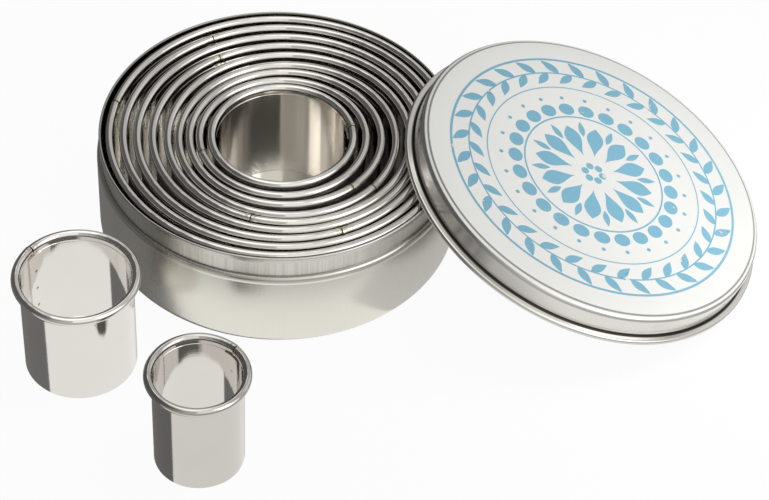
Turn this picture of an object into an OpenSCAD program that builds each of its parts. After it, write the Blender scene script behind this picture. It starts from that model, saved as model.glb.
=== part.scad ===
// Set of eleven plain round biscuit cutters in a round tin with a slip lid.
// Nine cutters stand nested in the tin, the two smallest stand in front of it,
// and the lid leans on the tin's rim. The origin is the tin's axis at its base.

/* [Cutters] */
// Height of every cutter, over its rolled rim
cutter_h = 31.75; // [20:0.25:32]
// Thickness of the cutters' steel strip
strip_t = 0.35; // [0.25:0.05:0.4]
// Outer diameter of the rolled rim's own tube
roll_d = 2.3; // [1.4:0.05:2.6]
// Gap left where the rolled edge comes back to the wall
roll_slit = 0.15; // [0.1:0.05:0.25]
// Direction of that gap from the middle of the roll, in section
roll_slit_turn = 225; // [210:1:240]
// Outside diameter of the smallest cutter's wall
first_d = 23.4; // [20:0.1:25]
// Outside diameter of the second cutter's wall
second_d = 29.6; // [28:0.1:32]
// Outside diameter of the smallest nested cutter's wall
nest_first_d = 36.8; // [36:0.1:39]
// Step in diameter from one nested cutter to the next
nest_step = 6.86; // [6.2:0.02:7]
// Width of the lap where the strip's two ends are welded
lap_w = 5; // [3:0.5:7]
// Width of the joint that shows in the rolled rim
joint_w = 0.3; // [0.2:0.1:0.6]
// Depth of that joint, as far as the wall
joint_in = 0.03; // [0.01:0.01:0.1]

/* [Tin] */
// Height of the tin, over its hem
tin_h = 32.1; // [32.1:0.1:40]
// Thickness of the tin's sheet
tin_t = 0.3; // [0.2:0.05:0.4]
// Clearance between the largest cutter's rim and the tin's neck
nest_clear = 0.5; // [0.3:0.1:2]
// How far the hem stands out from the neck
hem_out = 0.4; // [0.3:0.05:0.6]
// Height of the hem
hem_h = 1.6; // [1:0.1:2.5]
// How far the body stands out from the neck
ledge_out = 1.1; // [1:0.05:1.5]
// Height of the neck that the lid slips over, hem included
neck_h = 6.8; // [6:0.1:8]
// Radius of the shoulder below the neck
shoulder_r = 1; // [0.6:0.1:1]
// Depth of the line pressed round the body below the shoulder
line_d = 0.12; // [0.05:0.01:0.15]
// Distance of that line below the ledge
line_drop = 2.1; // [1.5:0.1:3]
// Radius of the corner round the tin's base
base_r = 3; // [1:0.1:4]

/* [Lid] */
// Thickness of the lid's sheet
lid_t = 0.3; // [0.2:0.05:0.4]
// Clearance between the lid's wall and the tin's body
lid_clear = 0.35; // [0.3:0.05:1]
// Height of the lid, over its curled edge
lid_h = 8.5; // [8:0.1:10]
// Radius of the lid's shoulder
lid_shoulder_r = 1.45; // [1:0.05:2]
// How far the flat panel stands above the shoulder
panel_up = 0.3; // [0.1:0.05:0.5]
// Outer diameter of the curled edge's own tube
curl_d = 1.56; // [1.3:0.02:1.8]
// Gap left where the curled edge comes back to the flange
curl_slit = 0.15; // [0.1:0.05:0.25]
// Direction of that gap from the middle of the curl, in section
curl_slit_turn = 150; // [130:1:170]
// Radius of the bend between the wall and the curled edge
flare_r = 0.5; // [0.3:0.05:0.7]
// Width of the flange between that bend and the curl's middle
flange_w = 0.9; // [0.9:0.02:1.2]

/* [Layout] */
// Where the lid's curl crosses the tin's rim, as a turn from the lid's high point
cross_turn = 30; // [10:0.1:40]
// Direction in which the lid slopes down, seen from above
lid_turn = -2.4; // [-20:0.1:20]
// Clearance between the leaning lid and the tin's rim
lean_clear = 0.15; // [0.1:0.05:0.5]
// Direction of the smallest cutter from the tin
first_turn = -99.3; // [-110:0.1:-90]
// Gap between the smallest cutter and the tin
first_gap = 26.3; // [15:0.1:40]
// Direction of the second cutter from the tin
second_turn = -130.2; // [-150:0.1:-120]
// Gap between the second cutter and the tin
second_gap = 8.8; // [5:0.1:20]

/* [Hidden] */
cutter_count = 11;
loose_count = 2;
$fn = 96;

// Share of its free play that each nested cutter has slid, from the smallest to the largest
play_share = [0.52, 0.64, 0.63, 0.74, 0.75, 0.74, 0.47, 0.49, 0.9];
// Direction of that slide, in the same order
play_turn = [109, 177, 147, -113, -36, -21, -49, -23, 0];
// Direction of each cutter's lap, from the smallest to the largest
lap_turn = [45, 146, 13, 200, -44, -36, -104, 125, -64, 121, 170];

roll_r = roll_d / 2;
curl_r = curl_d / 2;
// How far a rim's edge stands out from its cutter's wall
rim_out = roll_d - strip_t;

// A cutter's name, with two digits so that the names sort by size
function cutter_name(i) = str("cutter_", i < 10 ? "0" : "", i);
// Outside radius of a cutter's wall
function wall_r(i) = (i == 1 ? first_d : i == 2 ? second_d
    : nest_first_d + (i - loose_count - 1) * nest_step) / 2;
// Radius at a cutter's rim edge
function rim_r(i) = wall_r(i) + rim_out;
// Inner radius of what a nested cutter stands in: the next cutter, or the tin's neck
function room_r(i) = i == cutter_count ? neck_inner_r : wall_r(i + 1) - strip_t;
// Slide of a nested cutter inside what it stands in
function slide(i) = (room_r(i) - rim_r(i)) * play_share[i - loose_count - 1]
    * [cos(play_turn[i - loose_count - 1]), sin(play_turn[i - loose_count - 1])];
// Place of a nested cutter's axis: its own slide on top of those of the cutters round it
function nest_at(i) = i == cutter_count ? slide(i) : slide(i) + nest_at(i + 1);
// Place of a loose cutter, from its direction and its gap to the tin
function loose_at(i, turn, gap) = (body_r + gap + rim_r(i)) * [cos(turn), sin(turn)];
function cutter_at(i) = i == 1 ? concat(loose_at(1, first_turn, first_gap), 0)
    : i == 2 ? concat(loose_at(2, second_turn, second_gap), 0)
    : concat(nest_at(i), tin_t);

neck_inner_r = rim_r(cutter_count) + nest_clear;
neck_r = neck_inner_r + tin_t;
body_r = neck_r + ledge_out;
ledge_z = tin_h - neck_h;
hem_top_r = (tin_t + hem_out) / 2;
hem_mid_r = neck_inner_r + hem_top_r;

lid_wall_r = body_r + lid_clear + lid_t;
flange_top = curl_d;
curl_at_r = lid_wall_r + flare_r + flange_w;

// The leaning lid: its curl touches the table at its low end and lies on the tin's hem where the
// two circles cross, so its lean follows from the tin's height
rest_gap = curl_r + hem_top_r + lean_clear;
cross_reach = curl_at_r * (1 + cos(cross_turn));
lid_lean = asin((tin_h - hem_top_r - curl_r) / norm([cross_reach, rest_gap]))
    + atan(rest_gap / cross_reach);
curl_centre_z = curl_at_r * sin(lid_lean) + curl_r;
cross_side = curl_at_r * sin(cross_turn);
lid_far = sqrt(hem_mid_r * hem_mid_r - cross_side * cross_side)
    + curl_at_r * cos(cross_turn) * cos(lid_lean) + rest_gap * sin(lid_lean);

steel = [0.78, 0.78, 0.76];
sheet = [0.70, 0.71, 0.70];
pale = [0.88, 0.88, 0.86];

// A strip's bend in section: a quarter of a ring, turned to the quadrant that starts at the angle
module bend(outer, thick, from) {
    rotate(from) intersection() {
        difference() {
            circle(r = outer);
            circle(r = outer - thick);
        }
        square(outer);
    }
}

// A curled edge in section: a ring, slit where the sheet's edge comes back
module curl_section(r, thick, slit, slit_turn) {
    difference() {
        circle(r = r);
        circle(r = r - thick);
        rotate(slit_turn) translate([0, -slit / 2]) square([2 * r, slit]);
    }
}

// A cutter's section: a straight wall whose top edge is rolled outwards
module cutter_section(r) {
    translate([r - strip_t, 0]) square([strip_t, cutter_h - roll_r]);
    translate([r - strip_t + roll_r, cutter_h - roll_r])
        curl_section(roll_r, strip_t, roll_slit, roll_slit_turn);
}

// The lap inside the wall, where one end of the strip lies on the other
module lap(r) {
    half = asin(lap_w / 2 / r);
    rotate(-half) rotate_extrude(angle = 2 * half)
        translate([r - 2 * strip_t, 0]) square([1.5 * strip_t, cutter_h - roll_d]);
}

// One cutter, standing at the origin with its lap at the given direction
module cutter_body(r, turn) {
    rotate(turn) {
        difference() {
            rotate_extrude() cutter_section(r);
            translate([r + joint_in, -joint_w / 2, cutter_h - roll_d])
                cube([2 * roll_d, joint_w, 2 * roll_d]);
        }
        lap(r);
    }
}

module cutter(i) {
    color(steel) translate(cutter_at(i)) cutter_body(wall_r(i), lap_turn[i - 1]);
}

// The tin's section: base, rounded corner, body, shoulder, neck and hem, drawn from one sheet
module tin_section() {
    square([body_r - base_r, tin_t]);
    translate([body_r - base_r, base_r]) bend(base_r, tin_t, 270);
    difference() {
        translate([body_r - tin_t, base_r]) square([tin_t, ledge_z - shoulder_r - base_r]);
        translate([body_r, ledge_z - line_drop]) circle(r = line_d);
    }
    translate([body_r - shoulder_r, ledge_z - shoulder_r]) bend(shoulder_r, tin_t, 0);
    translate([neck_inner_r, ledge_z - tin_t])
        square([body_r - shoulder_r - neck_inner_r, tin_t]);
    translate([neck_inner_r, ledge_z - tin_t])
        square([tin_t, tin_h - hem_top_r - ledge_z + tin_t]);
    translate([neck_inner_r, tin_h - hem_h]) square([2 * hem_top_r, hem_h - hem_top_r]);
    translate([hem_mid_r, tin_h - hem_top_r]) circle(r = hem_top_r);
}

module tin() {
    color(sheet) rotate_extrude() tin_section();
}

// The lid's section: raised panel, shoulder, wall, flare and curled edge, drawn from one sheet
module lid_section() {
    panel_r = lid_wall_r - lid_shoulder_r;
    top = lid_h - panel_up;
    translate([0, lid_h - lid_t]) square([panel_r, lid_t]);
    translate([panel_r - lid_t, top - lid_t]) square([lid_t, panel_up + lid_t]);
    translate([panel_r, top - lid_shoulder_r]) bend(lid_shoulder_r, lid_t, 0);
    translate([lid_wall_r - lid_t, flange_top + flare_r])
        square([lid_t, top - lid_shoulder_r - flange_top - flare_r]);
    translate([lid_wall_r + flare_r, flange_top + flare_r])
        bend(flare_r + lid_t, lid_t, 180);
    translate([lid_wall_r + flare_r, flange_top - lid_t]) square([flange_w, lid_t]);
    translate([curl_at_r, curl_r]) curl_section(curl_r, lid_t, curl_slit, curl_slit_turn);
}

module lid() {
    color(pale) rotate(lid_turn) translate([lid_far, 0, curl_centre_z]) rotate([0, lid_lean, 0])
        translate([0, 0, -curl_r]) rotate_extrude() lid_section();
}

tin();
lid();
for (i = [1 : cutter_count])
    cutter(i);
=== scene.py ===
# %% [markdown]
# # A tin of plain round biscuit cutters
# Eleven steel rings, a drawn tin and a slip lid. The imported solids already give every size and
# place, so this lesson is about dressing them: sheet metal with its true thickness, polished and
# satin finishes, spot welds, a print on the lid, and the light that makes polished steel readable.

# %% Load the solids that everything is fitted to
import math

import bmesh
import bpy
import numpy as np
from mathutils import Matrix, Vector


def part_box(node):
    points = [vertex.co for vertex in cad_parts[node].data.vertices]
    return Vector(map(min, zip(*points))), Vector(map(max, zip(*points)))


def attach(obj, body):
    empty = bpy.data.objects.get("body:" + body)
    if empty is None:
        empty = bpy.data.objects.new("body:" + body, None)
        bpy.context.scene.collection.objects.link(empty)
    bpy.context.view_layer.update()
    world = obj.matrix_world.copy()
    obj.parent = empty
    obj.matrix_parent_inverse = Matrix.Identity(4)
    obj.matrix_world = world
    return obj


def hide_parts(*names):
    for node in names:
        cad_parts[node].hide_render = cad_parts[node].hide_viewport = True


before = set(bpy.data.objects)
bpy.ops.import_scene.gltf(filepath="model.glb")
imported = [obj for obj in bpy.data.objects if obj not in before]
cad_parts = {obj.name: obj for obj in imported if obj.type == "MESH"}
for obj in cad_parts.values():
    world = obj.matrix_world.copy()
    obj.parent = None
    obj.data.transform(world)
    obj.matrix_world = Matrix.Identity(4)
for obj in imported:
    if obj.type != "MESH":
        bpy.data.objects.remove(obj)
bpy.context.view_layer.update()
MM = 0.001
CUTTERS = sorted(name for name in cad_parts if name.startswith("cutter_"))
print("solids:", len(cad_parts), "of which cutters:", len(CUTTERS))


def box_mm(name):
    """A solid's lowest and highest corners in millimetres."""
    return [np.array(corner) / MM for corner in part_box(name)]


# %% [markdown]
# The photograph was taken from about 0.73 m away, looking down at 46 degrees, with the camera
# turned 3 degrees round its own axis. A real lens could be described by a field of view, but a
# focal length in pixels is easier to check against a picture, so it's turned into a lens here.

# %% Camera
PHOTO_W = 769
VIEW_FOCAL_PX = 2625.0
VIEW_ELEVATION = math.radians(46.0)
VIEW_ROLL = math.radians(3.024)
VIEW_AIM = Vector((30.34, -12.42, 0)) * MM
VIEW_DISTANCE = 728.85 * MM
SENSOR = 36.0


def add_camera():
    data = bpy.data.cameras.new("camera")
    data.sensor_width = SENSOR
    data.lens = VIEW_FOCAL_PX * SENSOR / PHOTO_W
    data.clip_start = 0.01
    camera = bpy.data.objects.new("camera", data)
    bpy.context.scene.collection.objects.link(camera)
    back = Vector((0, -math.cos(VIEW_ELEVATION), math.sin(VIEW_ELEVATION)))
    level_up = Vector((0, math.sin(VIEW_ELEVATION), math.cos(VIEW_ELEVATION)))
    level_right = Vector((1, 0, 0))
    right = level_right * math.cos(VIEW_ROLL) + level_up * math.sin(VIEW_ROLL)
    up = level_up * math.cos(VIEW_ROLL) - level_right * math.sin(VIEW_ROLL)
    place = VIEW_AIM + back * VIEW_DISTANCE
    axes = Matrix((right, up, back)).transposed().to_4x4()
    camera.matrix_world = Matrix.Translation(place) @ axes
    bpy.context.scene.camera = camera
    print("camera at", [round(c, 4) for c in place])


add_camera()

# %% [markdown]
# Every piece is one sheet of steel, bent in section and turned round an axis. A Solidify modifier
# could give a line its thickness, but it rounds tight curls badly. So the section is drawn here:
# a walk along the middle of the sheet, stepping half a thickness to each side.

# %% Section helpers, in millimetres
EDGE_SOFT = 0.3


def arc(centre, radius, start, end, steps):
    """Points along an arc in the section plane, with angles in degrees."""
    angles = np.radians(np.linspace(start, end, steps + 1))
    return np.stack([centre[0] + radius * np.cos(angles), centre[1] + radius * np.sin(angles)], 1)


def path(*parts):
    """Joins points and arcs into one line and drops points that lie on each other."""
    points = np.vstack([np.atleast_2d(part) for part in parts]).astype(float)
    keep = [0]
    for k in range(1, len(points)):
        if np.hypot(*(points[k] - points[keep[-1]])) > 1e-4:
            keep.append(k)
    return points[keep]


def eased_end(middle, reach):
    """Adds a point just inside the line's last point, where the cut edge starts to round off."""
    back = middle[-2] - middle[-1]
    return np.insert(middle, len(middle) - 1, middle[-1] + back / np.hypot(*back) * reach, axis=0)


def sheet_section(middle, thickness):
    """The closed outline of a sheet that follows a line, with its cut edges eased."""
    on_axis = middle[0][0] < 1e-6
    middle = eased_end(middle, thickness * EDGE_SOFT)
    if not on_axis:
        middle = eased_end(middle[::-1], thickness * EDGE_SOFT)[::-1]
    ahead = np.diff(middle, axis=0)
    ahead /= np.hypot(ahead[:, 0], ahead[:, 1])[:, None]
    side = np.stack([-ahead[:, 1], ahead[:, 0]], 1)
    joint = side[:-1] + side[1:]
    joint /= (joint * side[1:]).sum(1)[:, None]
    side = np.vstack([side[:1], joint, side[-1:]]) * thickness / 2
    side[-1] *= 1 - 2 * EDGE_SOFT
    if not on_axis:
        side[0] *= 1 - 2 * EDGE_SOFT
    return np.vstack([middle + side, (middle - side)[::-1]])


# %% [markdown]
# Turning the outline makes the piece. Blender's Screw modifier does the same, but here each corner
# also gets a UV in metres, round the axis and along the sheet, so that polishing lines follow the
# metal. A rolled ring is never a perfect circle either: `wave` moves the wall in and out by a few
# hundredths of a millimetre, and polished steel shows it in its reflections.

# %% Turn an outline into a mesh
ROUND_STEPS = 256
SHARP_ANGLE = math.radians(40)


def turned(outline, start=0.0, end=360.0, steps=ROUND_STEPS, wave=None):
    """Mesh data of an outline turned about Z between two angles, capped if it isn't a full turn."""
    whole = abs(end - start - 360) < 1e-6
    stops = steps if whole else steps + 1
    angles = np.radians(start + (end - start) * np.arange(stops) / steps)
    count = len(outline)
    r = np.tile(outline[:, 0], (stops, 1))
    if wave is not None:
        r = r + wave(angles)[:, None]
    verts = np.stack([np.cos(angles)[:, None] * r, np.sin(angles)[:, None] * r,
                      np.tile(outline[:, 1], (stops, 1))], 2).reshape(-1, 3)
    around = np.vstack([outline, outline[:1]])
    length = np.concatenate([[0], np.cumsum(np.hypot(*np.diff(around, axis=0).T))])
    width = float(outline[:, 0].max())
    faces, uvs = [], []
    for a in range(stops if whole else stops - 1):
        b = (a + 1) % stops
        ua = math.radians(start + (end - start) * a / steps) * width
        ub = math.radians(start + (end - start) * (a + 1) / steps) * width
        for k in range(count):
            n = (k + 1) % count
            faces.append((a * count + k, b * count + k, b * count + n, a * count + n))
            uvs += [(ua, length[k]), (ub, length[k]), (ub, length[k + 1]), (ua, length[k + 1])]
    if not whole:
        faces.append(tuple(range(count - 1, -1, -1)))
        faces.append(tuple((stops - 1) * count + k for k in range(count)))
        uvs += [(0, 0)] * (2 * count)
    return verts, faces, uvs


# %% [markdown]
# One function joins such parts into one object, merges the points that lie on the axis, turns the
# faces outwards, and moves the mesh (not the object) to its place, so that each object stays at
# the origin and rides on its body from there.

# %% Make an object from turned parts
def add_object(name, mesh, material, body):
    mesh.materials.clear()
    mesh.materials.append(material)
    piece = bpy.data.objects.new(name, mesh)
    bpy.context.scene.collection.objects.link(piece)
    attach(piece, body)
    return piece


def clean_mesh(mesh):
    work = bmesh.new()
    work.from_mesh(mesh)
    bmesh.ops.remove_doubles(work, verts=work.verts, dist=1e-4)
    bmesh.ops.dissolve_degenerate(work, edges=work.edges, dist=1e-5)
    bmesh.ops.recalc_face_normals(work, faces=work.faces)
    work.to_mesh(mesh)
    work.free()


def turned_mesh(name, parts, place=None):
    mesh = bpy.data.meshes.new(name)
    verts, faces, uvs, shift = [], [], [], 0
    for part_verts, part_faces, part_uvs in parts:
        verts.append(part_verts)
        faces += [tuple(v + shift for v in face) for face in part_faces]
        uvs += part_uvs
        shift += len(part_verts)
    mesh.from_pydata(np.vstack(verts).tolist(), [], faces)
    layer = mesh.uv_layers.new(name="sheet")
    layer.data.foreach_set("uv", (np.array(uvs) * MM).ravel())
    clean_mesh(mesh)
    mesh.transform(Matrix.Scale(MM, 4))
    if place is not None:
        mesh.transform(place)
    mesh.shade_smooth()
    mesh.set_sharp_from_angle(angle=SHARP_ANGLE)
    return mesh


# %% [markdown]
# A finish changes over a surface by numbers worked out in nodes. The first of these classes lets
# them be written as plain Python sums, with one Math node for each sign. The second adds any other
# node by one method, and builds the Geometry Nodes trees and the world too. The third is the same
# kit for a material, with the patterns that all the metals here share.

# %% Node expressions
class Value:
    """One output socket that can be used in sums."""

    def __init__(self, kit, socket):
        self.kit, self.socket = kit, socket

    def math(self, operation, *others):
        return self.kit.node("ShaderNodeMath", {"operation": operation}, self, *others)[0]

    def __add__(self, other):
        return self.math("ADD", other)

    def __radd__(self, other):
        return self.math("ADD", other)

    def __sub__(self, other):
        return self.math("SUBTRACT", other)

    def __rsub__(self, other):
        return (self * -1).math("ADD", other)

    def __mul__(self, other):
        return self.math("MULTIPLY", other)

    def __rmul__(self, other):
        return self.math("MULTIPLY", other)

    def __truediv__(self, other):
        return self.math("DIVIDE", other)

    def __pow__(self, other):
        return self.math("POWER", other)


class Kit:
    """Adds nodes to a tree and links them."""

    def __init__(self, tree):
        self.tree = tree

    def plug(self, value, socket):
        if isinstance(value, Value):
            self.tree.links.new(value.socket, socket)
        elif value is not None:
            socket.default_value = value

    def node(self, kind, settings=None, *values, **named):
        node = self.tree.nodes.new(kind)
        for key, value in (settings or {}).items():
            setattr(node, key, value)
        for k, value in enumerate(values):
            self.plug(value, node.inputs[k])
        for key, value in named.items():
            self.plug(value, node.inputs[key.replace("_", " ")])
        return [Value(self, out) for out in node.outputs]

    def mix(self, share, low, high):
        node = self.tree.nodes.new("ShaderNodeMix")
        node.data_type = "RGBA"
        self.plug(share, node.inputs["Factor"])
        self.plug(low, node.inputs[6])
        self.plug(high, node.inputs[7])
        return Value(self, node.outputs[2])

    def step(self, value, start, end):
        """0 below start and 1 above end, with a smooth rise between them."""
        return self.node("ShaderNodeMapRange", {"interpolation_type": "SMOOTHSTEP"},
                         value, start, end, 0.0, 1.0)[0]

    def between(self, value, rise, fall):
        """1 between two limits, each given by where its change starts and ends."""
        return self.step(value, *rise) * (1 - self.step(value, *fall))

    def lines(self, value, rows, core):
        """Soft lines, each with a place, a reach and a depth; `core` of the reach is full."""
        total = 0.0
        for place, reach, depth in rows:
            off = (value - place).math("ABSOLUTE")
            total = (1 - self.step(off, reach * core, reach)) * depth + total
        return total


class Finish(Kit):
    """A material, its shader and the patterns that the metals share."""

    def __init__(self, name):
        self.material = bpy.data.materials.new(name)
        self.material.use_nodes = True
        super().__init__(self.material.node_tree)
        self.shader = self.tree.nodes["Principled BSDF"]

    def set(self, **named):
        for key, value in named.items():
            self.plug(value, self.shader.inputs[key.replace("_", " ")])

    def streaks(self, along_u, along_v, detail=3.0, seed=0.0):
        """Noise stretched over the sheet's own UV: cells per metre in each direction."""
        uv = self.node("ShaderNodeUVMap", {"uv_map": "sheet"})[0]
        placed = self.node("ShaderNodeMapping", None, uv, (seed, seed, 0), (0, 0, 0),
                           (along_u, along_v, 1))[0]
        return self.node("ShaderNodeTexNoise", None, Vector=placed, Scale=1.0, Detail=detail)[0]

    def patches(self, per_metre, detail=2.0):
        spot = self.node("ShaderNodeTexCoord")[3]
        return self.node("ShaderNodeTexNoise", None, Vector=spot, Scale=per_metre, Detail=detail)[0]

    def bump(self, height, distance, under=None):
        return self.node("ShaderNodeBump", None, Height=height, Strength=1.0,
                         Distance=distance, Normal=under)[0]


# %% [markdown]
# The cutters are polished stainless strip, nearly a mirror. Three things tell the eye that it's
# real strip: faint lines left by the polishing belt along it, slow waves across it from rolling,
# and a dull, heat-tinted spot where the ends were welded. What depends on the ring comes from
# attributes on its mesh: `weld` near the lap, `rubbed` where rings slide on each other, and `batch`
# for the tone, because the strips of one set don't all come from the same coil.

# %% Polished strip
STRIP_PALE = (0.765, 0.74, 0.71, 1)
STRIP_DEEP = (0.585, 0.56, 0.53, 1)
WELD_TINT = (0.50, 0.45, 0.35, 1)
STRIP_ROUGH = 0.035
SCUFF_ROUGH = 0.28
RUB_ROUGH = 0.42
BELT_DEPTH = 0.000004
ROLLED_DEPTH = 0.00012


def polished_strip():
    f = Finish("polished_strip")
    belt = f.streaks(40, 7000)
    rolled = f.streaks(230, 3, detail=1.0, seed=0.7)
    clouds = f.patches(70)
    weld = f.node("ShaderNodeAttribute", {"attribute_name": "weld"})[2]
    scuff = weld * f.step(f.patches(1100, 3.0), 0.42, 0.60)
    batch = f.node("ShaderNodeAttribute", {"attribute_name": "batch"})[2]
    tone = f.mix(batch + 0.25 * clouds, STRIP_PALE, STRIP_DEEP)
    tone = f.mix(scuff, tone, WELD_TINT)
    rubbed = f.node("ShaderNodeAttribute", {"attribute_name": "rubbed"})[2]
    rough = STRIP_ROUGH + 0.05 * clouds + 0.03 * belt + SCUFF_ROUGH * scuff + RUB_ROUGH * rubbed
    waves = f.bump(rolled, ROLLED_DEPTH)
    f.set(Base_Color=tone, Metallic=1.0, Roughness=rough,
          Normal=f.bump(belt + 5.0 * scuff, BELT_DEPTH, waves))
    return f.material


STRIP = polished_strip()
print("made", STRIP.name)

# %% [markdown]
# The tin is drawn tinplate with a satin face. Drawing it over a punch leaves fine lines up the
# wall, so the noise is squeezed to a fifth of a millimetre round the tin and stretched along it.
# The lid has scraped the neck thousands of times: there the lines are coarser and the face duller.
# Painted shade darkens the crease at the neck's foot, a line below the shoulder, the hem's underside
# and the inside of the neck, where shade falls. A band round the shoulder is darkened as painted
# shade that dims its highlight, and the hem's darker tone is wear. The tin stands on the origin, so
# a height above the table and a distance from the axis pick each zone.

# %% Drawn tinplate
TIN_PALE = (0.815, 0.79, 0.725, 1)
TIN_DEEP = (0.72, 0.70, 0.64, 1)
# Worn tinplate on the neck and hem; on the shoulder the same tone is painted shade that dims its
# highlight.
TIN_WORN_AND_SHADED = (0.50, 0.485, 0.455, 1)
# Dark colour of the painted shade in the tin's creases and inside its neck.
CREASE_SHADE = (0.20, 0.19, 0.175, 1)
NECK_FROM, NECK_TO = 0.0254, 0.0304
ZONE_EDGE = 0.0001
# Heights of painted shade lines: the crease at the neck's foot, a line below the shoulder, the hem's
# underside.
CREASE_SHADE_LINES = ((0.02545, 0.00030, 0.6), (0.02415, 0.00080, 0.6), (0.03040, 0.00025, 0.6))
SHOULDER_SHADE = (0.02465, 0.02535)
BASE_TOP = 0.0005
NECK_INSIDE = 0.0484
TIN_ROUGH = 0.17
BASE_SMOOTHER = 0.10
DRAWN_DEPTH = 0.000012


def tin_sheet():
    f = Finish("tin_sheet")
    across, deep, height = f.node("ShaderNodeSeparateXYZ", None,
                                  f.node("ShaderNodeTexCoord")[3])
    radius = (across * across + deep * deep) ** 0.5
    drawn = f.streaks(4200, 30)
    cross = f.streaks(90, 2600, seed=2.3)
    scraped = f.step(f.streaks(2300, 14, detail=4.0, seed=5.1), 0.35, 0.65)
    clouds = f.patches(45)
    neck = f.between(height, (NECK_FROM, NECK_FROM + ZONE_EDGE),
                     (NECK_TO, NECK_TO + ZONE_EDGE))
    # Painted shade: the band round the shoulder is darkened to dim its bright highlight.
    shoulder_shade = f.between(height, (SHOULDER_SHADE[0], SHOULDER_SHADE[0] + 3 * ZONE_EDGE),
                         (SHOULDER_SHADE[1], SHOULDER_SHADE[1] + ZONE_EDGE))
    hem = f.step(height, NECK_TO, NECK_TO + ZONE_EDGE)
    # Painted shade: the inside of the neck is darkened where the narrow gap to the largest ring lies
    # in shade.
    shaded_inside = f.step(height, NECK_FROM - 0.004, NECK_FROM) * (
        1 - f.step(radius, NECK_INSIDE, NECK_INSIDE + 2 * ZONE_EDGE))
    base = 1 - f.step(height, BASE_TOP, BASE_TOP + ZONE_EDGE)
    tone = f.mix(drawn * 0.7 + clouds * 0.3, TIN_DEEP, TIN_PALE)
    tone = f.mix(neck * (0.36 + 0.26 * scraped), tone, TIN_WORN_AND_SHADED)
    # The shoulder's share here is painted shade; the hem's share is wear.
    tone = f.mix(0.65 * shoulder_shade + 0.6 * hem, tone, TIN_WORN_AND_SHADED)
    # Painted shade: the inside of the neck and the creases are darkened where shade falls.
    painted_shade = 0.9 * shaded_inside + f.lines(height, CREASE_SHADE_LINES, 0.0)
    tone = f.mix(painted_shade.math("MINIMUM", 1.0), tone, CREASE_SHADE)
    rough = TIN_ROUGH + 0.10 * clouds + 0.07 * drawn + neck * (0.03 + 0.08 * scraped)
    f.set(Base_Color=tone, Metallic=1.0, Roughness=rough - BASE_SMOOTHER * base,
          Normal=f.bump(drawn + 0.5 * cross + 0.9 * neck * scraped, DRAWN_DEPTH))
    return f.material


TIN = tin_sheet()
print("made", TIN.name)

# %% [markdown]
# The lid is the same sheet, but its panel has a matt lacquer made to take a print, while shoulder,
# wall and curl stay bright. The sheet's own UV runs outwards from the panel's middle, so one limit
# on it parts the two finishes, and painted shade darkens the panel's step and the bend above the
# curl, where shade falls. The lacquer's grain has no direction and reads plain coordinates.

# %% Lid sheet
LACQUER_PALE = (0.93, 0.93, 0.905, 1)
LACQUER_DEEP = (0.88, 0.88, 0.855, 1)
LID_BRIGHT = (0.74, 0.725, 0.69, 1)
LACQUER_SHINE = 0.5
# Dark colour of the painted shade in the lid's creases.
LID_CREASE_SHADE = (0.035, 0.034, 0.03, 1)
LACQUER_ROUGH = 0.46
BRIGHT_ROUGH = 0.13
LACQUER_GRAIN = 0.000004
PANEL_REACH = 0.0496
# Painted shade lines along the sheet: the panel's step and the bend above the curl.
LID_SHADE_LINES = ((0.04885, 0.00045, 0.65), (0.05630, 0.00075, 1.0))


def lid_sheet():
    f = Finish("lid_sheet")
    grain = f.patches(2600, 4.0)
    clouds = f.patches(30)
    drawn = f.streaks(3000, 60)
    along = f.node("ShaderNodeSeparateXYZ", None,
                   f.node("ShaderNodeUVMap", {"uv_map": "sheet"})[0])[1]
    bare = f.step(along, PANEL_REACH, PANEL_REACH + 0.0004)
    lacquer = f.mix(clouds, LACQUER_DEEP, LACQUER_PALE)
    matt = LACQUER_ROUGH + 0.08 * clouds + 0.05 * grain
    rough = matt * (1 - bare) + (BRIGHT_ROUGH + 0.10 * drawn) * bare
    # Painted shade in the panel's step and the bend above the curl.
    painted_shade = f.lines(along, LID_SHADE_LINES, 1 / 3)
    tone = f.mix(painted_shade, f.mix(bare, lacquer, LID_BRIGHT), LID_CREASE_SHADE)
    f.set(Base_Color=tone, Metallic=LACQUER_SHINE + (1 - LACQUER_SHINE) * bare, Roughness=rough,
          Normal=f.bump(grain, LACQUER_GRAIN))
    return f.material


LID = lid_sheet()
print("made", LID.name)

# %% [markdown]
# Printing ink is a thin plastic film. Handling rubs it off in small spots and scratches, so its
# alpha drops to zero where a noise passes a limit, and the bare sheet shows through.

# %% Printing ink
INK_PALE = (0.215, 0.455, 0.58, 1)
INK_DEEP = (0.17, 0.40, 0.535, 1)


def printed_ink():
    f = Finish("printed_ink")
    screen = f.patches(900, 4.0)
    rubbed = f.step(f.patches(160, 6.0), 0.66, 0.70)
    f.set(Base_Color=f.mix(screen, INK_DEEP, INK_PALE), Metallic=0.0,
          Roughness=0.36 + 0.12 * screen, Alpha=1 - 0.85 * rubbed)
    return f.material


INK = printed_ink()
print("made", INK.name)

# %% [markdown]
# Spot welds and printed motifs repeat, so Geometry Nodes set them out. Each tree takes the motif
# as its geometry and has named inputs for its counts and sizes. It ends in Realize Instances and
# Set Material, and the result is turned into a plain mesh, because an exported model can't hold
# instances.

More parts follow.
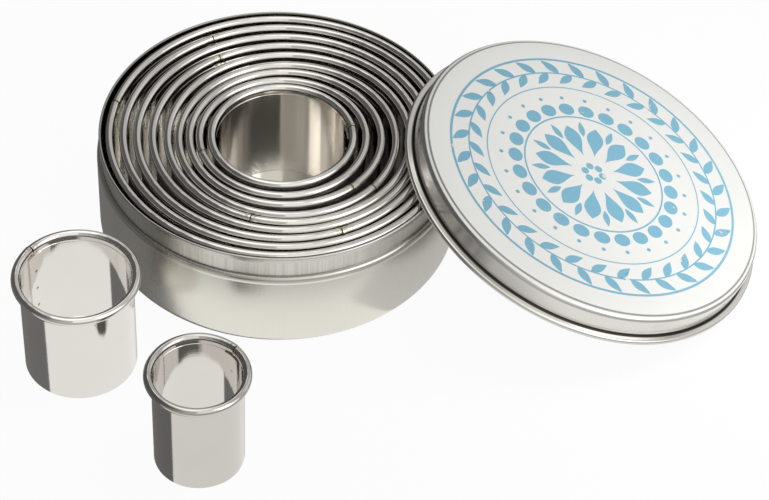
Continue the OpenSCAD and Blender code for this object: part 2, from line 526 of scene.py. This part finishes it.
# %% Geometry Nodes helpers
def geometry_tree(name, sizes):
    """A tree with a geometry in and out, the named number inputs and a material input."""
    tree = bpy.data.node_groups.new(name, "GeometryNodeTree")
    tree.interface.new_socket("Motif", in_out="INPUT", socket_type="NodeSocketGeometry")
    for label, value in sizes.items():
        kind = "NodeSocketInt" if isinstance(value, int) else "NodeSocketFloat"
        tree.interface.new_socket(label, in_out="INPUT", socket_type=kind).default_value = value
    tree.interface.new_socket("Finish", in_out="INPUT", socket_type="NodeSocketMaterial")
    tree.interface.new_socket("Geometry", in_out="OUTPUT", socket_type="NodeSocketGeometry")
    kit = Kit(tree)
    outputs = kit.node("NodeGroupInput")
    given = {value.socket.name: value for value in outputs if value.socket.name}
    return kit, given


def finish_tree(kit, given, points, turn):
    """Puts the motif on the points, makes it real and gives it its finish."""
    placed = kit.node("GeometryNodeInstanceOnPoints", None, Points=points,
                      Instance=given["Motif"], Rotation=turn)[0]
    real = kit.node("GeometryNodeRealizeInstances", None, placed)[0]
    coated = kit.node("GeometryNodeSetMaterial", None, Geometry=real,
                      Material=given["Finish"])[0]
    kit.node("NodeGroupOutput", None, coated)
    return kit.tree


def grown(name, motif, tree, sizes, finish, place):
    """Runs a tree on a motif and keeps the result as a plain mesh, in its place."""
    carrier = bpy.data.objects.new(name, motif)
    bpy.context.scene.collection.objects.link(carrier)
    modifier = carrier.modifiers.new("set_out", "NODES")
    modifier.node_group = tree
    for item in tree.interface.items_tree:
        if item.item_type == "SOCKET" and item.in_out == "INPUT":
            if item.name in sizes:
                modifier[item.identifier] = sizes[item.name]
            elif item.name == "Finish":
                modifier[item.identifier] = finish
    solved = carrier.evaluated_get(bpy.context.evaluated_depsgraph_get())
    mesh = bpy.data.meshes.new_from_object(solved)
    bpy.data.objects.remove(carrier)
    mesh.transform(place)
    mesh.name = name
    return mesh


# %% [markdown]
# Two trees are enough. One sets a motif round a ring, each copy turned with the ring. The other
# sets it in a column up the inside of a wall.

# %% The ring tree and the column tree
def ring_tree():
    kit, given = geometry_tree("round_a_ring", {"Count": 12, "Radius": 0.01, "First": 0.0,
                                                "Lean": 0.0})
    place = kit.node("GeometryNodeInputIndex")[0]
    angle = place / given["Count"] * math.tau + given["First"]
    spot = kit.node("ShaderNodeCombineXYZ", None, angle.math("COSINE") * given["Radius"],
                    angle.math("SINE") * given["Radius"], 0.0)[0]
    points = kit.node("GeometryNodePoints", None, given["Count"], spot, 0.001)[0]
    euler = kit.node("ShaderNodeCombineXYZ", None, 0.0, 0.0, angle + given["Lean"])[0]
    turn = kit.node("FunctionNodeEulerToRotation", None, euler)[0]
    return finish_tree(kit, given, points, turn)


def column_tree():
    kit, given = geometry_tree("up_a_wall", {"Count": 3, "Radius": 0.01, "Turn": 0.0,
                                             "First": 0.0, "Step": 0.01})
    height = kit.node("GeometryNodeInputIndex")[0] * given["Step"] + given["First"]
    spot = kit.node("ShaderNodeCombineXYZ", None, given["Turn"].math("COSINE") * given["Radius"],
                    given["Turn"].math("SINE") * given["Radius"], height)[0]
    points = kit.node("GeometryNodePoints", None, given["Count"], spot, 0.001)[0]
    euler = kit.node("ShaderNodeCombineXYZ", None, 0.0, 0.0, given["Turn"])[0]
    turn = kit.node("FunctionNodeEulerToRotation", None, euler)[0]
    return finish_tree(kit, given, points, turn)


RING_TREE = ring_tree()
COLUMN_TREE = column_tree()
print("trees:", RING_TREE.name, COLUMN_TREE.name)

# %% [markdown]
# A cutter is a strip rolled into a ring with its top edge rolled outwards. Its wall is a full turn.
# Its rolled rim is nearly one: the two ends of the roll meet in a small open joint over the welded
# lap. Sizes come from each solid's box, so the rings nest exactly as the solids do. BATCH says how
# deep the tone of each ring is, from 0 to 1, and the inside of a ring keeps only a part of it.

# %% The cutters
STRIP_T = 0.35
ROLL_R = 1.15
ROLL_END = -130
JOINT_W = 0.3
LAP_W = 5.0
WELD_REACH = 2.2
JOINT_STEP = 0.14
LAP_TURNS = dict(zip(CUTTERS, (45, 146, 13, 200, -44, -36, -104, 125, -64, 121, 170)))
WAVES = ((3, 0.030), (5, 0.016), (8, 0.008), (13, 0.003))


def ring_size(name):
    """Centre, foot height, top height above the foot and outer wall radius of a cutter."""
    low, high = box_mm(name)
    rim_r = (high[1] - low[1]) / 2
    return (low + high) / 2, low[2], high[2] - low[2], rim_r - 2 * ROLL_R + STRIP_T


def ring_wave(number):
    """How far a ring strays from a true circle, by angle in radians."""
    def wave(angles):
        return sum(size * np.sin(cycles * angles + number * cycles) for cycles, size in WAVES)
    return wave


def joint_wave(wave, radius, turn):
    """The same, with the roll's end sprung out a little on one side of its joint."""
    def sprung(angles):
        past = (angles - math.radians(turn)) % math.tau * radius
        return wave(angles) + JOINT_STEP * np.exp(-(past / WELD_REACH) ** 2)
    return sprung


BATCH = dict(zip(CUTTERS, (0.85, 0.0, 0.1, 0.3, 0.2, 0.35, 0.15, 0.3, 0.2, 0.35, 0.25)))
INSIDE_TONE = 0.3
TABLE_CLEAR = 0.1
WALL_TOP_CLEAR = 0.01


def mark_ring(mesh, name, centre, radius, above):
    """Writes the ring's attributes: `weld` is 1 on the rim at the lap and fades round the ring,
    `rubbed` is 1 on the outside of a wall that stands in the tin, and `batch` is the tone."""
    turn, nested = LAP_TURNS[name], centre[2] > TABLE_CLEAR
    spots = np.empty(len(mesh.vertices) * 3)
    mesh.vertices.foreach_get("co", spots)
    x, y, z = (spots.reshape(-1, 3) / MM - centre).T
    off = (np.arctan2(y, x) - math.radians(turn) + math.pi) % math.tau - math.pi
    outside = np.hypot(x, y) > radius - STRIP_T / 2
    weld = np.exp(-(off * radius / WELD_REACH) ** 2) * (z > above)
    rubbed = outside * (z < above + WALL_TOP_CLEAR) * float(nested)
    batch = BATCH[name] * np.where(outside, 1.0, INSIDE_TONE)
    for label, value in (("weld", weld), ("rubbed", rubbed), ("batch", batch)):
        mesh.attributes.new(label, "FLOAT", "POINT").data.foreach_set("value", value)


def cutter(name):
    centre, foot, height, wall_r = ring_size(name)
    wave = ring_wave(CUTTERS.index(name) + 1)
    mid = wall_r - STRIP_T / 2
    roll_at = (wall_r - STRIP_T + ROLL_R, height - ROLL_R)
    roll_foot = height - 2 * ROLL_R
    wall = sheet_section(path((mid, 0), (mid, roll_foot / 2), (mid, roll_foot)), STRIP_T)
    bend = arc(roll_at, ROLL_R - STRIP_T / 2, 180, ROLL_END, 30)
    roll = sheet_section(path((mid, roll_foot), bend), STRIP_T)
    turn = LAP_TURNS[name]
    gap = math.degrees(JOINT_W / 2 / wall_r)
    lap_half = math.degrees(LAP_W / 2 / wall_r)
    lap_in = wall_r - 1.5 * STRIP_T
    lap = sheet_section(path((lap_in, 0.05), (lap_in, roll_foot)), STRIP_T)
    sprung = joint_wave(wave, wall_r, turn)
    parts = [turned(wall, wave=wave), turned(roll, turn + gap, turn + 360 - gap, wave=sprung),
             turned(lap, turn - lap_half, turn + lap_half, 12, wave)]
    place = Matrix.Translation(Vector((centre[0], centre[1], foot)) * MM)
    mesh = turned_mesh(name + "_polished", parts, place)
    mark_ring(mesh, name, np.array((centre[0], centre[1], foot)), wall_r, roll_foot)
    piece = add_object(name + "_polished", mesh, STRIP, name)
    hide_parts(name)
    return piece


cutter_pieces = [cutter(name) for name in CUTTERS]
print("cutters made:", len(cutter_pieces))

# %% [markdown]
# Each lap is held by a column of spot welds, which show inside the ring as small shallow domes.
# One dome is drawn, facing the axis, and the column tree repeats it up every lap.

# %% Spot welds
WELD_R = 0.55
WELD_H = 0.10
WELD_COUNT = 4


def weld_dome():
    """A flat dome with its back in the wall, bulging towards the ring's axis."""
    rise = np.linspace(0, 90, 6)
    outline = np.vstack([[(0, WELD_H), (0, -WELD_H)], np.stack(
        [WELD_R * np.cos(np.radians(rise)), WELD_H * (2 * np.sin(np.radians(rise)) - 1)], 1)[:-1]])
    mesh = turned_mesh("weld_dome", [turned(outline, steps=16)])
    mesh.transform(Matrix.Rotation(-math.pi / 2, 4, "Y"))
    return mesh


def spot_welds(name, dome):
    centre, foot, height, wall_r = ring_size(name)
    step = height / WELD_COUNT * 0.8
    place = Matrix.Translation(Vector((centre[0], centre[1], foot)) * MM)
    sizes = {"Count": WELD_COUNT, "Radius": (wall_r - 2 * STRIP_T) * MM,
             "Turn": math.radians(LAP_TURNS[name]), "First": step * 0.7 * MM, "Step": step * MM}
    mesh = grown(name + "_welds", dome, COLUMN_TREE, sizes, STRIP, place)
    mesh.shade_smooth()
    tint = mesh.attributes.new("weld", "FLOAT", "POINT")
    tint.data.foreach_set("value", np.ones(len(mesh.vertices)))
    return add_object(name + "_welds", mesh, STRIP, name)


DOME = weld_dome()
weld_pieces = [spot_welds(name, DOME) for name in CUTTERS]
print("spot welds in each cutter:", WELD_COUNT)

# %% [markdown]
# The tin is drawn from one sheet: base, corner, body, shoulder, neck, and a hem folded outwards
# and pressed flat. The line round the body below the shoulder is rolled in to stiffen it.

# %% The tin
TIN_T = 0.3
HEM_OUT = 0.4
HEM_H = 1.6
LEDGE_OUT = 1.1
NECK_H = 6.8
SHOULDER_R = 1.0
BASE_R = 3.0
LINE_DROP = 2.1
LINE_D = 0.06
CROOK_R = 0.2
TIN_LOW, TIN_HIGH = box_mm("tin")
TIN_H = TIN_HIGH[2]
BODY_R = (TIN_HIGH[0] - TIN_LOW[0]) / 2
NECK_IN = BODY_R - LEDGE_OUT - TIN_T
HEM_TOP_R = (TIN_T + HEM_OUT) / 2


def tin():
    mid = TIN_T / 2
    ledge = TIN_H - NECK_H
    hem_at = (NECK_IN + HEM_TOP_R, TIN_H - HEM_TOP_R)
    line = ledge - LINE_DROP
    wall = BODY_R - mid
    middle = path(
        (0, mid), (BODY_R - BASE_R, mid),
        arc((BODY_R - BASE_R, BASE_R), BASE_R - mid, -90, 0, 12),
        (wall, line - 3 * LINE_D), (wall - LINE_D, line), (wall, line + 3 * LINE_D),
        arc((BODY_R - SHOULDER_R, ledge - SHOULDER_R), SHOULDER_R - mid, 0, 90, 10),
        arc((NECK_IN + mid + CROOK_R, ledge - mid + CROOK_R), CROOK_R, 270, 180, 5),
        arc(hem_at, HEM_TOP_R - mid, 180, 0, 10),
        (hem_at[0] + HEM_TOP_R - mid, TIN_H - HEM_H))
    mesh = turned_mesh("tin_drawn", [turned(sheet_section(middle, TIN_T))])
    piece = add_object("tin_drawn", mesh, TIN, "tin")
    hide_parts("tin")
    return piece


tin_piece = tin()
print("tin: body radius", round(BODY_R, 2), "mm, height", round(TIN_H, 2), "mm")

# %% [markdown]
# The lid is drawn the same way, in its own level frame, and then leaned. Its curl rests on the
# table at the low end and on the tin's hem where the two circles cross, and these sums are the
# ones that place the solid, so the dressed lid lies exactly on it.

# %% Where the lid lies
LID_T = 0.3
LID_CLEAR = 0.35
LID_H = 8.5
LID_SHOULDER_R = 1.45
PANEL_UP = 0.3
CURL_R = 0.78
FLARE_R = 0.5
FLANGE_W = 0.9
CROSS_TURN = math.radians(30)
LID_TURN = math.radians(-2.4)
LEAN_CLEAR = 0.15
LID_WALL_R = BODY_R + LID_CLEAR + LID_T
LID_CURL_AT = LID_WALL_R + FLARE_R + FLANGE_W


def lid_place():
    rest_gap = CURL_R + HEM_TOP_R + LEAN_CLEAR
    reach = LID_CURL_AT * (1 + math.cos(CROSS_TURN))
    lean = math.asin((TIN_H - HEM_TOP_R - CURL_R) / math.hypot(reach, rest_gap)) \
        + math.atan(rest_gap / reach)
    height = LID_CURL_AT * math.sin(lean) + CURL_R
    across = LID_CURL_AT * math.sin(CROSS_TURN)
    far = math.sqrt((NECK_IN + HEM_TOP_R) ** 2 - across ** 2) \
        + LID_CURL_AT * math.cos(CROSS_TURN) * math.cos(lean) + rest_gap * math.sin(lean)
    print("lid leans", round(math.degrees(lean), 2), "degrees, axis", round(far, 2), "mm away")
    return Matrix.Rotation(LID_TURN, 4, "Z") @ Matrix.Translation(
        Vector((far, 0, height)) * MM) @ Matrix.Rotation(lean, 4, "Y") @ Matrix.Translation(
        Vector((0, 0, -CURL_R)) * MM)


LID_PLACE = lid_place()

# %% [markdown]
# The panel stands a little above the shoulder, with a soft step between them, and its middle is
# crowned by a tenth of a millimetre, as pressed lids are. The wall flares out into a flange, and
# the sheet's edge is curled under it.

# %% The lid
PANEL_CROWN = 0.12


def lid():
    mid = LID_T / 2
    panel_r = LID_WALL_R - LID_SHOULDER_R
    top = LID_H - PANEL_UP
    flange = 2 * CURL_R
    step_r = PANEL_UP
    share = np.linspace(0, 1, 12)
    panel = np.stack([share * (panel_r - step_r),
                      LID_H - mid - PANEL_CROWN * share ** 2], 1)
    middle = path(
        panel, arc((panel_r - step_r, LID_H - mid - PANEL_CROWN - step_r), step_r, 90, 30, 4),
        arc((panel_r, top - LID_SHOULDER_R), LID_SHOULDER_R - mid, 80, 0, 12),
        arc((LID_WALL_R + FLARE_R, flange + FLARE_R), FLARE_R + mid, 180, 270, 6),
        arc((LID_CURL_AT, CURL_R), CURL_R - mid, 90, -200, 26))
    mesh = turned_mesh("lid_drawn", [turned(sheet_section(middle, LID_T))], LID_PLACE)
    piece = add_object("lid_drawn", mesh, LID, "lid")
    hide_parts("lid")
    return piece


lid_piece = lid()

# %% [markdown]
# The print is a plain garland of leaves between fine rings, round a rosette. Each motif is a thin
# plate of ink with its underside just in the sheet, drawn flat from a formula, and the ring tree
# repeats it. The plates are real geometry, so the print survives any renderer.

# %% Motifs of the print, in millimetres
INK_UP = 0.02
INK_DOWN = 0.02


def plate(name, outline):
    """A thin closed plate with the given flat outline."""
    count = len(outline)
    verts = [(x, y, -INK_DOWN) for x, y in outline] + [(x, y, INK_UP) for x, y in outline]
    faces = [tuple(range(count - 1, -1, -1)), tuple(range(count, 2 * count))]
    faces += [(k, (k + 1) % count, (k + 1) % count + count, k + count) for k in range(count)]
    mesh = bpy.data.meshes.new(name)
    mesh.from_pydata(verts, [], faces)
    clean_mesh(mesh)
    mesh.transform(Matrix.Scale(MM, 4))
    return mesh


def leaf(name, start, length, width, belly=0.8):
    """A pointed leaf along X from `start`, widest before its middle for a belly under 1."""
    share = np.linspace(0, 1, 15)
    half = width / 2 * np.sin(math.pi * share ** belly)
    upper = np.stack([start + length * share, half], 1)
    lower = np.stack([start + length * share[-2:0:-1], -half[-2:0:-1]], 1)
    return plate(name, np.vstack([upper, lower])[::-1])


def dot(name, radius, squash=1.0):
    angles = np.linspace(0, math.tau, 20, endpoint=False)
    return plate(name, np.stack([radius * np.cos(angles), squash * radius * np.sin(angles)], 1))


def fine_ring(name, radius, width):
    """A closed ring of ink with a rectangular section."""
    outline = np.array([(radius - width / 2, -INK_DOWN), (radius + width / 2, -INK_DOWN),
                        (radius + width / 2, INK_UP), (radius - width / 2, INK_UP)])
    return turned_mesh(name, [turned(outline, steps=160)])


# %% [markdown]
# The crown of the panel is so slight that a motif may stay flat, as long as it's set at the crown's
# height for its own radius. One table of plain rows says what goes where.

# %% Print the lid
GARLAND_R = 37.0
GARLAND_STEPS = 30
ROSETTE_STEPS = 12


def panel_height(radius):
    return LID_H - PANEL_CROWN * (radius / (LID_WALL_R - LID_SHOULDER_R - PANEL_UP)) ** 2


def print_motifs(name, motif, count, radius, first=0.0, lean=0.0):
    place = LID_PLACE @ Matrix.Translation((0, 0, panel_height(radius) * MM))
    sizes = {"Count": count, "Radius": radius * MM, "First": math.radians(first),
             "Lean": math.radians(lean)}
    mesh = grown(name, motif, RING_TREE, sizes, INK, place)
    return add_object(name, mesh, INK, "lid")


def print_ring(name, radius, width):
    mesh = fine_ring(name, radius, width)
    mesh.transform(LID_PLACE @ Matrix.Translation((0, 0, panel_height(radius) * MM)))
    return add_object(name, mesh, INK, "lid")


half_step = 180 / GARLAND_STEPS
petal_step = 180 / ROSETTE_STEPS
prints = [
    print_ring("print_ring_outer", 42.2, 0.7),
    print_ring("print_ring_stem", GARLAND_R, 0.45),
    print_ring("print_ring_inner", 31.6, 0.35),
    print_ring("print_ring_rosette", 20.6, 0.5),
    print_motifs("print_leaves_outer", leaf("leaf_outer", 0.3, 6.4, 2.7), GARLAND_STEPS,
                 GARLAND_R, 0, 48),
    print_motifs("print_leaves_inner", leaf("leaf_inner", 0.3, 6.0, 2.5), GARLAND_STEPS,
                 GARLAND_R, half_step, 132),
    print_motifs("print_berries", dot("berry", 0.55), GARLAND_STEPS, 41.0, half_step),
    print_motifs("print_petals", leaf("petal", 0, 11.0, 5.0, 1.5), ROSETTE_STEPS, 6.4),
    print_motifs("print_petals_small", leaf("petal_small", 0, 5.6, 1.9, 0.9), ROSETTE_STEPS, 13.4,
                 petal_step),
    print_motifs("print_scallops", dot("scallop", 2.1, 1.15), 2 * ROSETTE_STEPS, 23.4,
                 petal_step / 2),
    print_motifs("print_beads", dot("bead", 0.6), 2 * ROSETTE_STEPS, 27.6, petal_step / 2),
    print_motifs("print_heart", dot("heart", 1.15), 6, 2.6),
]
print("print pieces:", len(prints))

# %% [markdown]
# The table is white. The camera sees it mostly as a plain white with the object's shadow kept
# faint, as on a light table. Polished walls don't mirror the table itself but the studio below the
# horizon, which is drawn in the world, so that their reflections keep clean upright edges. Only
# under the lid a sheet of table is mirrored, because the lid's shade falls on it there. Near the tin
# about half of that sheet's white glows, painted light in place of light bounced into the shade.

# %% Table
TABLE_HALF = 3.0
SHADOW_KEPT = 0.05
TABLE_WHITE = (0.97, 0.968, 0.96, 1)
SHADE_FROM = 0.058
SHADE_SOFT = 0.02


def flat_sheet(name, low, high, height, material):
    mesh = bpy.data.meshes.new(name)
    corners = [(low[0], low[1], 0), (high[0], low[1], 0), (high[0], high[1], 0),
               (low[0], high[1], 0)]
    mesh.from_pydata(corners, [], [(0, 1, 2, 3)])
    sheet = bpy.data.objects.new(name, mesh)
    bpy.context.scene.collection.objects.link(sheet)
    sheet.location.z = height
    sheet.data.materials.append(material)
    return sheet


def table_finish(name, share_white, shaded_from=None):
    """White that's partly its own, and shaded beyond a distance along X where one is given."""
    f = Finish(name)
    f.set(Base_Color=TABLE_WHITE, Roughness=1.0, Specular_IOR_Level=0.0)
    seen = f.node("ShaderNodeLightPath")
    kept = (seen[0] + seen[3] + seen[6]).math("MINIMUM", 1.0) * share_white
    if shaded_from is not None:
        along = f.node("ShaderNodeSeparateXYZ", None, f.node("ShaderNodeTexCoord")[3])[0]
        kept = kept * (1 - f.step(along, shaded_from, shaded_from + SHADE_SOFT))
    white = f.node("ShaderNodeEmission", None, (1, 1, 1, 1), 1.0)[0]
    mixed = f.node("ShaderNodeMixShader", None, kept, Value(f, f.shader.outputs[0]), white)[0]
    f.plug(mixed, f.tree.nodes["Material Output"].inputs["Surface"])
    return f.material


def add_table():
    table = flat_sheet("table", (-TABLE_HALF, -TABLE_HALF), (TABLE_HALF, TABLE_HALF), -0.0001,
                       table_finish("table_white", 1 - SHADOW_KEPT))
    table.visible_glossy = False
    low, high = (Vector(corner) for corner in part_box("lid"))
    # Near the tin this sheet's white is 0.48 self-lit: painted light standing in for bounced light.
    shaded = flat_sheet("table_under_lid", low[:2], high[:2], -0.00005,
                        table_finish("table_shaded", 0.48, SHADE_FROM))
    shaded.visible_camera = False
    shaded.visible_diffuse = False
    shaded.visible_shadow = False


add_table()

# %% [markdown]
# Polished steel shows only what stands round it, so the studio matters more than the lamps. Each
# rolled rim is a small round mirror, and its two tones say what stood there: a broad soft box in
# front on the right, a panel overhead, grey walls behind on the right, and a dark screen behind on
# the left. The studio is drawn in the world by direction. Painted and matt surfaces get plain white
# light instead, and the camera sees plain white. A pair of numbers says where a change starts and
# where it ends.

# %% The studio in the world, with directions in degrees
SCREEN_FROM, SCREEN_TO = 93.5, -156.0
SCREEN_OVER, SCREEN_UNDER = 0.12, 0.18
WALLS = 0.60
PATCH_LEVEL = 0.28
PATCH_RISE, PATCH_FALL, PATCH_FADE = (12, 20), (42, 52), (25, 60)
BOX_FROM, BOX_TO = -89.0, 0.0
BOX_LEVEL = 1.15
BOX_FOOT, BOX_DROP, DROP_END = 24, 14, -20
CORE_FROM, CORE_TO = -47.0, 10.0
CORE_LEVEL = 2.6
CORE_FOOT, CORE_TOP = (2, 14), (58, 68)
CEILING = 1.02
ROOF_RISE = (58, 80)
PANEL_X = (-0.26, 0.04)
PANEL_Y = (-0.08, 0.86)
PANEL_LEVEL = 1.55
PANEL_SOFT = 0.08
FLOOR_NEAR, FLOOR_FAR, FLOOR_SIDE = 0.99, 0.50, 0.50
FLOOR_FALL = (-40, -22)
SIDE_RISE = (60, 90)
STUDIO_TOP = 2.6
STUDIO_WHITE = (2.6, 2.59, 2.55, 1)
LIGHT_LEVEL = 0.36


def studio_over(kit, azimuth, up, x, y, z):
    """Brightness of what stands above the horizon."""
    lit = kit.step(azimuth, SCREEN_TO, BOX_FROM - 4) \
        - kit.step(azimuth, SCREEN_FROM + 3, SCREEN_FROM + 13)
    patch = kit.between(azimuth, PATCH_RISE, PATCH_FALL) * (1 - kit.step(up, *PATCH_FADE))
    walls = SCREEN_OVER + lit * (WALLS - SCREEN_OVER) + patch * PATCH_LEVEL
    foot = BOX_FOOT - kit.step(azimuth, BOX_FROM, DROP_END) * BOX_DROP
    box = kit.between(azimuth, (BOX_FROM - 2, BOX_FROM + 2), (BOX_TO - 12, BOX_TO + 8)) \
        * kit.step(up - foot, -9, 9)
    core = kit.between(azimuth, (CORE_FROM - 2, CORE_FROM + 2), (CORE_FROM + 10, CORE_TO)) \
        * kit.step(up - foot, *CORE_FOOT) * (1 - kit.step(up, *CORE_TOP))
    box_level = BOX_LEVEL + core * (CORE_LEVEL - BOX_LEVEL)
    level = walls * (1 - box) + box_level * box
    roof = kit.step(up, *ROOF_RISE)
    level = level * (1 - roof) + CEILING * roof
    over = z.math("MAXIMUM", 0.05)
    panel = 1.0
    for spot, (low, high) in ((x / over, PANEL_X), (y / over, PANEL_Y)):
        panel = kit.between(spot, (low - PANEL_SOFT, low + PANEL_SOFT),
                            (high - PANEL_SOFT, high + PANEL_SOFT)) * panel
    return level * (1 - panel) + PANEL_LEVEL * panel


def studio_under(kit, azimuth, up):
    """Brightness of the floor below the horizon, as upright walls mirror it."""
    floor = FLOOR_FAR + (FLOOR_NEAR - FLOOR_FAR) * (1 - kit.step(up, *FLOOR_FALL))
    side = kit.step(azimuth, *SIDE_RISE)
    floor = floor * (1 - side) + FLOOR_SIDE * side
    screen = kit.step(azimuth, SCREEN_FROM - 1, SCREEN_FROM + 1) + (
        1 - kit.step(azimuth, SCREEN_TO - 1, SCREEN_TO + 1))
    return floor * (1 - screen) + SCREEN_UNDER * screen


def add_world():
    world = bpy.data.worlds.new("studio")
    bpy.context.scene.world = world
    world.use_nodes = True
    kit = Kit(world.node_tree)
    x, y, z = kit.node("ShaderNodeSeparateXYZ", None, kit.node("ShaderNodeTexCoord")[0])
    azimuth = y.math("ARCTAN2", x) * (180 / math.pi)
    up = z.math("ARCSINE") * (180 / math.pi)
    above = kit.step(up, -2, 2)
    level = studio_over(kit, azimuth, up, x, y, z) * above \
        + studio_under(kit, azimuth, up) * (1 - above)
    studio = kit.mix(level / STUDIO_TOP, (0, 0, 0, 1), STUDIO_WHITE)
    seen = kit.node("ShaderNodeLightPath")
    plain = kit.mix(seen[0], (LIGHT_LEVEL, LIGHT_LEVEL, LIGHT_LEVEL, 1), (1, 1, 1, 1))
    shown = kit.mix((seen[3] + seen[6]).math("MINIMUM", 1.0), plain, studio)
    background = world.node_tree.nodes["Background"]
    kit.plug(shown, background.inputs["Color"])
    background.inputs["Strength"].default_value = 1.0


add_world()

# %% [markdown]
# A large lamp on the right gives the shadow a direction, and a small one close to the lid's low side
# lets the lacquered panel fade from right to left. Mirrors don't show them, because the studio
# already holds what they mirror.

# %% Lamps
def add_area(name, place, aim, size, power):
    data = bpy.data.lights.new(name, "AREA")
    data.shape = "RECTANGLE"
    data.size, data.size_y = size
    data.energy = power
    lamp = bpy.data.objects.new(name, data)
    bpy.context.scene.collection.objects.link(lamp)
    lamp.location = place
    lamp.rotation_euler = (Vector(aim) - Vector(place)).to_track_quat("-Z", "Y").to_euler()
    lamp.visible_glossy = False
    lamp.visible_camera = False


add_area("soft_box", (0.35, 0.25, 1.2), (0.03, 0, 0), (0.5, 0.35), 1.3)
add_area("lid_lamp", (0.19, -0.02, 0.11), (0.09, 0, 0.02), (0.06, 0.10), 0.16)
bpy.context.scene.view_settings.view_transform = "Standard"
